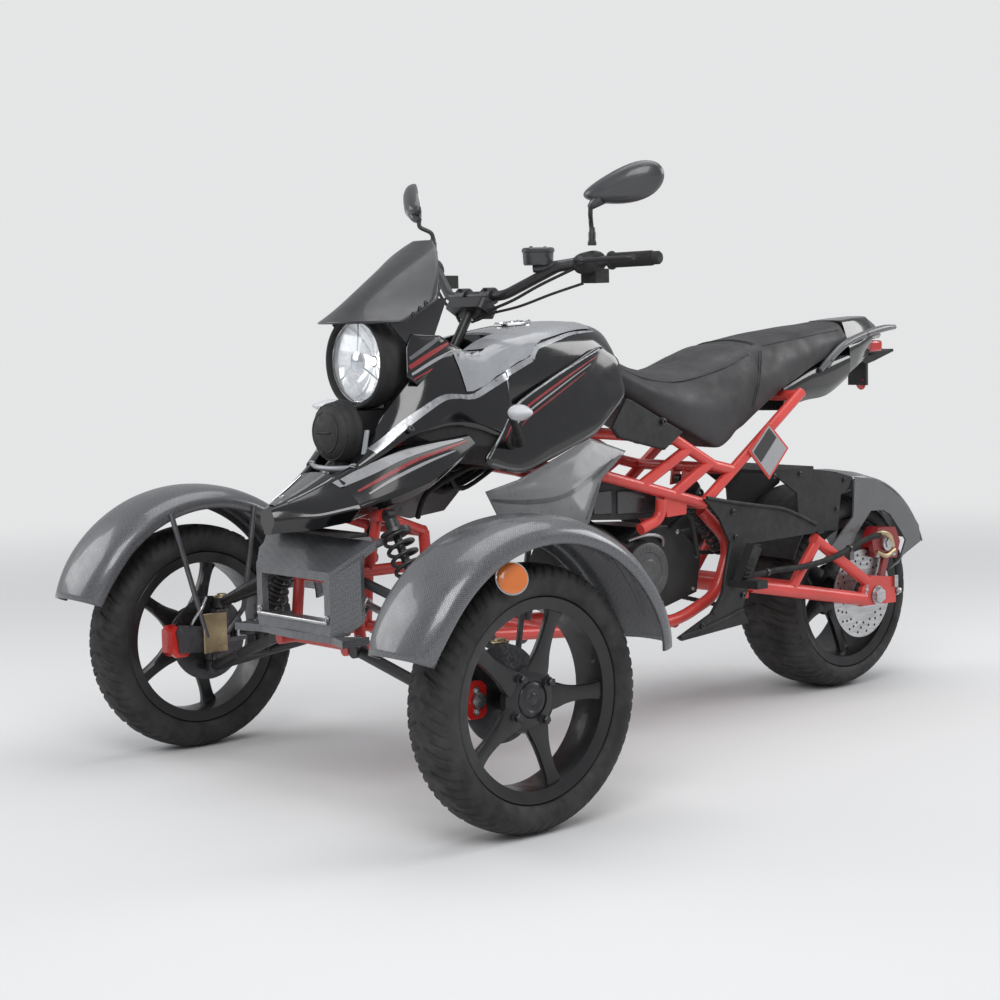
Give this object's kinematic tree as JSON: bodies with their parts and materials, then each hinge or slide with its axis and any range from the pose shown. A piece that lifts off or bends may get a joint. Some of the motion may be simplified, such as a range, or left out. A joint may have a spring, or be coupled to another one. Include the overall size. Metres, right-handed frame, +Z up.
{
  "type": "motor trike",
  "caption": "Motor trike: two steered front wheels on wishbones, a driven rear wheel on a swingarm, exposed tube frame, round headlight, stepped seat.",
  "frame": {"origin": "on the floor under the middle of the vehicle", "axes": "+Z up, +X to the vehicle's left, -Y towards its front"},
  "size_m": [1.318, 2.1607, 1.2838],
  "materials": {
    "red_tube": "satin coral red powder coat",
    "engine_metal": "cast, grey",
    "black_metal": "satin black",
    "black_gloss": "gloss black",
    "grey_panel": "satin grey",
    "carbon": "grey carbon weave under lacquer",
    "black_plastic": "matt, fine grain",
    "smoked_screen": "dark satin",
    "seat_cover": "charcoal grained cover",
    "red_lens": "red lens",
    "clear_lens": "clear",
    "steel": "brushed",
    "dark_red": "dark red anodised",
    "bright_red": "bright red",
    "gold_metal": "pale gold",
    "black_rubber": "matt",
    "tyre": "matt, treaded",
    "wheel_black": "satin black"
  },
  "bodies": {
    "chassis": {"airbox": "black_plastic", "bumper": "carbon", "chain": "black_plastic", "engine": "engine_metal", "exhaust": "black_metal", "frame_cradle": "red_tube", "frame_front": "red_tube", "frame_plate": "red_tube", "frame_truss": "red_tube", "front_cowl": "black_gloss", "front_shocks": "black_metal", "grab_rails": "grey_panel", "headlamp_housing": "black_plastic", "headlamp_lens": "clear_lens", "hugger": "black_plastic", "lamp_bracket": "black_metal", "lower_lip": "carbon", "nose_panel": "black_gloss", "plate_bracket": "black_plastic", "rear_axle": "steel", "rear_brake_hose": "black_rubber", "rear_caliper": "dark_red", "rear_fender": "grey_panel", "rear_shock": "black_metal", "seat": "seat_cover", "side_covers": "black_plastic", "side_panels": "black_gloss", "snout_cover": "black_plastic", "swingarm": "red_tube", "tail_cowl": "black_gloss", "tail_lamp": "red_lens", "tank_cover": "black_gloss", "turn_signals": "clear_lens", "windscreen": "smoked_screen", "wing_panels": "grey_panel", "wishbones": "black_metal"},
    "steering": {"steering_column": "steel", "handlebar": "black_metal", "bar_controls": "black_rubber", "mirrors": "black_plastic"},
    "rear_wheel": {"rear_tyre": "tyre", "rear_rim": "wheel_black", "rear_disc": "steel", "sprocket": "steel"},
    "knuckle_left": {"upright_left": "gold_metal", "front_caliper_left": "bright_red", "front_fender_left": "carbon"},
    "tie_rod_left": {"tie_rod_left": "steel"},
    "front_wheel_left": {"front_tyre_left": "tyre", "front_rim_left": "wheel_black", "front_disc_left": "steel"},
    "knuckle_right": {"upright_right": "gold_metal", "front_caliper_right": "bright_red", "front_fender_right": "carbon"},
    "tie_rod_right": {"tie_rod_right": "steel"},
    "front_wheel_right": {"front_tyre_right": "tyre", "front_rim_right": "wheel_black", "front_disc_right": "steel"}
  },
  "joints": [
    {"name": "steering_turn", "type": "hinge", "parent": "chassis", "child": "steering", "pos_m": [0, -0.371, 1], "axis": [0, 0.5299, 0.848], "range_deg": [-30, 30]},
    {"name": "knuckle_left_turn", "type": "hinge", "parent": "chassis", "child": "knuckle_left", "pos_m": [0.482, -0.759, 0.192], "axis": [-0.0274, 0.1643, 0.986], "range_deg": [-30, 30]},
    {"name": "tie_rod_left_swing", "type": "hinge", "parent": "steering", "child": "tie_rod_left", "pos_m": [0, -0.70004, 0.3602], "axis": [0, 0.5299, 0.848], "range_deg": [-30, 30]},
    {"name": "front_wheel_left_spin", "type": "hinge", "parent": "knuckle_left", "child": "front_wheel_left", "pos_m": [0.567, -0.756, 0.255], "axis": [1, 0, 0], "continuous": true},
    {"name": "knuckle_right_turn", "type": "hinge", "parent": "chassis", "child": "knuckle_right", "pos_m": [-0.482, -0.759, 0.192], "axis": [0.0274, 0.1643, 0.986], "range_deg": [-30, 30]},
    {"name": "tie_rod_right_swing", "type": "hinge", "parent": "steering", "child": "tie_rod_right", "pos_m": [0, -0.70004, 0.3602], "axis": [0, 0.5299, 0.848], "range_deg": [-30, 30]},
    {"name": "front_wheel_right_spin", "type": "hinge", "parent": "knuckle_right", "child": "front_wheel_right", "pos_m": [-0.567, -0.756, 0.255], "axis": [1, 0, 0], "continuous": true},
    {"name": "rear_wheel_spin", "type": "hinge", "parent": "chassis", "child": "rear_wheel", "pos_m": [0, 0.794, 0.248], "axis": [1, 0, 0], "continuous": true}
  ],
  "couplings": [
    {"joint": "knuckle_left_turn", "follows": "steering_turn", "ratio": 1},
    {"joint": "tie_rod_left_swing", "follows": "steering_turn", "ratio": -1},
    {"joint": "knuckle_right_turn", "follows": "steering_turn", "ratio": 1},
    {"joint": "tie_rod_right_swing", "follows": "steering_turn", "ratio": -1}
  ]
}
